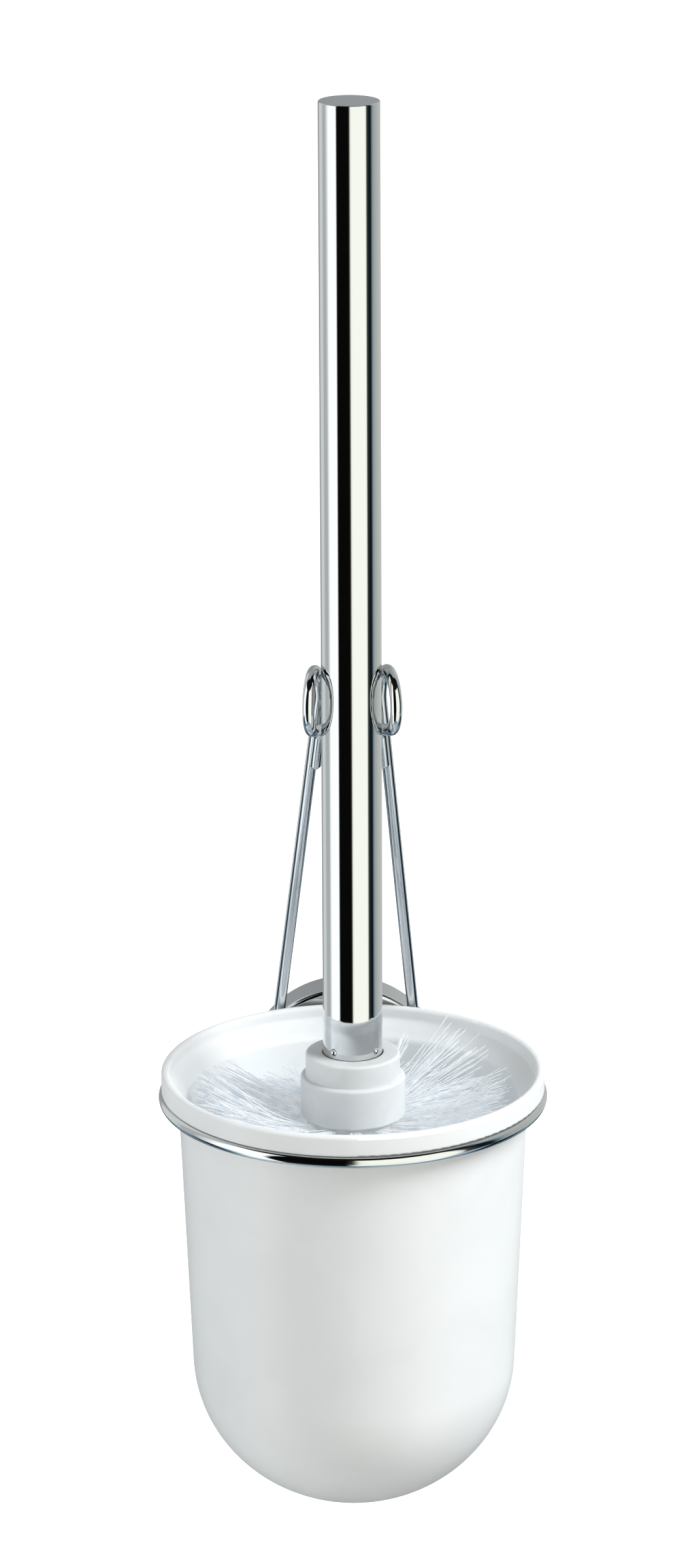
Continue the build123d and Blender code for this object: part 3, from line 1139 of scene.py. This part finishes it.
    def build_floor(self) -> None:
        """Lay the pale floor and put the white backdrop round it."""
        half = self.floor_half
        mesh = bpy.data.meshes.new("floor")
        corners = [(-half, -half), (half, -half), (half, half), (-half, half)]
        mesh.from_pydata([(x, y, self.floor_height) for x, y in corners], [], [(0, 1, 2, 3)])
        floor = bpy.data.objects.new("floor", mesh)
        bpy.context.collection.objects.link(floor)
        material, tree = new_material("pale_floor")
        shader = add_node(
            tree,
            "ShaderNodeBsdfPrincipled",
            inputs={
                "Base Color": linear("#FFFFFF"),
                "Roughness": 0.9,
                "Emission Color": linear("#FFFFFF"),
                "Emission Strength": self.floor_glow,
            },
        )
        add_node(tree, "ShaderNodeOutputMaterial", links={"Surface": shader.outputs["BSDF"]})
        mesh.materials.append(material)
        floor.visible_diffuse = False
        floor.visible_glossy = False
        radius = half * self.backdrop_share
        backdrop = self.sphere("backdrop", radius, Vector(), self.backdrop_faces)
        material, tree = new_material("white_backdrop")
        glow = add_node(tree, "ShaderNodeEmission", inputs={"Color": linear("#FFFFFF")})
        add_node(tree, "ShaderNodeOutputMaterial", links={"Surface": glow.outputs["Emission"]})
        backdrop.data.materials.append(material)
        backdrop.visible_diffuse = False
        backdrop.visible_glossy = False
        backdrop.visible_transmission = False
        backdrop.visible_shadow = False

    def build_surround(self) -> None:
        """Put up the ring of cards: seen in the chrome only."""
        centre = self.target
        radius = self.surround_radius
        surround = self.sphere("card_surround", radius, centre, self.surround_faces)
        material, tree = new_material("studio_cards")
        place = add_node(tree, "ShaderNodeTexCoord")
        out = add_node(
            tree,
            "ShaderNodeVectorMath",
            settings={"operation": "SUBTRACT"},
            inputs={1: centre},
            links={0: place.outputs["Object"]},
        )
        parts = add_node(tree, "ShaderNodeSeparateXYZ", links={"Vector": out.outputs["Vector"]})
        front = add_node(
            tree,
            "ShaderNodeMath",
            settings={"operation": "MULTIPLY"},
            inputs={1: -1.0},
            links={0: parts.outputs["Y"]},
        )
        bearing = add_node(
            tree,
            "ShaderNodeMath",
            settings={"operation": "ARCTAN2"},
            links={0: parts.outputs["X"], 1: front.outputs["Value"]},
        )
        share = add_node(
            tree,
            "ShaderNodeMapRange",
            inputs={"From Min": -math.pi, "From Max": math.pi},
            links={"Value": bearing.outputs["Value"]},
        )
        length = add_node(
            tree,
            "ShaderNodeVectorMath",
            settings={"operation": "NORMALIZE"},
            links={0: out.outputs["Vector"]},
        )
        level = add_node(tree, "ShaderNodeSeparateXYZ", links={"Vector": length.outputs["Vector"]})
        for stops, ends in (
            (self.floor_tones, None),
            (self.skirt, self.skirt_edge),
            (self.cards, self.card_edge),
            (self.above, self.above_edge),
        ):
            strips = add_node(tree, "ShaderNodeValToRGB", links={"Fac": share.outputs["Result"]})
            set_stops(strips, [((angle + 180) / 360, linear(shade)) for angle, shade in stops])
            if ends is None:
                seen = strips.outputs["Color"]
                continue
            low, high = (math.sin(math.radians(end)) for end in ends)
            edge = add_node(
                tree,
                "ShaderNodeMapRange",
                inputs={"From Min": low, "From Max": high},
                links={"Value": level.outputs["Z"]},
            )
            layer = add_node(
                tree,
                "ShaderNodeMix",
                settings={"data_type": "RGBA"},
                links={"Factor": edge.outputs["Result"]},
            )
            colours = [socket for socket in layer.inputs if socket.type == "RGBA"]
            tree.links.new(seen, colours[0])
            tree.links.new(strips.outputs["Color"], colours[1])
            seen = next(socket for socket in layer.outputs if socket.type == "RGBA")
        glow = add_node(
            tree, "ShaderNodeEmission", inputs={"Strength": self.card_strength}, links={"Color": seen}
        )
        add_node(tree, "ShaderNodeOutputMaterial", links={"Surface": glow.outputs["Emission"]})
        surround.data.materials.append(material)
        surround.visible_camera = False
        surround.visible_diffuse = False
        surround.visible_transmission = False
        surround.visible_shadow = False

    def build_light(self) -> None:
        """Set the soft boxes and the dim room round them."""
        for box in self.softboxes:
            box.place(self.target)
        world = bpy.data.worlds.new("room")
        bpy.context.scene.world = world
        world.use_nodes = True
        tree = world.node_tree
        tree.nodes.clear()
        place = add_node(tree, "ShaderNodeTexCoord")
        parts = add_node(tree, "ShaderNodeSeparateXYZ", links={"Vector": place.outputs["Generated"]})
        share = add_node(
            tree,
            "ShaderNodeMapRange",
            inputs={"From Min": -1.0, "From Max": 1.0},
            links={"Value": parts.outputs["Z"]},
        )
        shade = add_node(tree, "ShaderNodeValToRGB", links={"Fac": share.outputs["Result"]})
        set_stops(shade, [(height, linear(colour)) for height, colour in self.room])
        room = add_node(tree, "ShaderNodeBackground", links={"Color": shade.outputs["Color"]})
        add_node(tree, "ShaderNodeOutputWorld", links={"Surface": room.outputs["Background"]})

    def build(self) -> None:
        """Build the whole studio."""
        self.build_floor()
        self.build_surround()
        self.build_light()
        bpy.context.scene.view_settings.view_transform = "Standard"
        LOG.info("studio: %d soft boxes, %d card edges", len(self.softboxes), len(self.cards))


@dataclass(frozen=True)
class Viewpoint:
    """Camera of the main view.

    Attributes:
        place: Position in metres.
        bearing: Bearing of the view from +Y, in degrees.
        pitch: Angle below level, in degrees.
        yaw: Small turn to the right, in degrees.
        roll: Small turn of the picture, in degrees.
        lens: Focal length on a 36 mm long side, in millimetres.
    """

    place: tuple[float, float, float] = (-0.04857, -1.45407, 0.54256)
    bearing: float = -2.0
    pitch: float = 17.51
    yaw: float = -0.08
    roll: float = -0.23
    lens: float = 126.78

    def build(self) -> None:
        """Make the camera and make it the scene's own."""
        turn, down = math.radians(self.bearing), math.radians(self.pitch)
        level = math.cos(down)
        ahead = Vector((-math.sin(turn) * level, math.cos(turn) * level, -math.sin(down)))
        right = ahead.cross(Vector((0, 0, 1))).normalized()
        swing = math.radians(self.yaw)
        ahead, right = (
            ahead * math.cos(swing) + right * math.sin(swing),
            right * math.cos(swing) - ahead * math.sin(swing),
        )
        upward = right.cross(ahead)
        tilt = math.radians(self.roll)
        right, upward = (
            right * math.cos(tilt) + upward * math.sin(tilt),
            upward * math.cos(tilt) - right * math.sin(tilt),
        )
        lens = bpy.data.cameras.new("view")
        lens.lens = self.lens
        lens.sensor_width = 36.0
        lens.clip_start, lens.clip_end = 0.05, 60.0
        camera = bpy.data.objects.new("view", lens)
        turned = Matrix((right, upward, -ahead)).transposed().to_4x4()
        camera.matrix_world = Matrix.Translation(self.place) @ turned
        bpy.context.collection.objects.link(camera)
        bpy.context.scene.camera = camera


def main() -> None:
    """Dress the CAD pieces, grow the bristles and set up the studio."""
    logging.basicConfig(level=logging.INFO, format="%(message)s")
    wall_frame = WallFrame()
    bright = wall_frame.chrome.make()
    wall_frame.dress(bright)
    Bowl().dress()
    Handle().dress(bright)
    head = BrushHead()
    head.build()
    head.dress()
    Studio().build()
    Viewpoint().build()


if __name__ == "__main__":
    main()
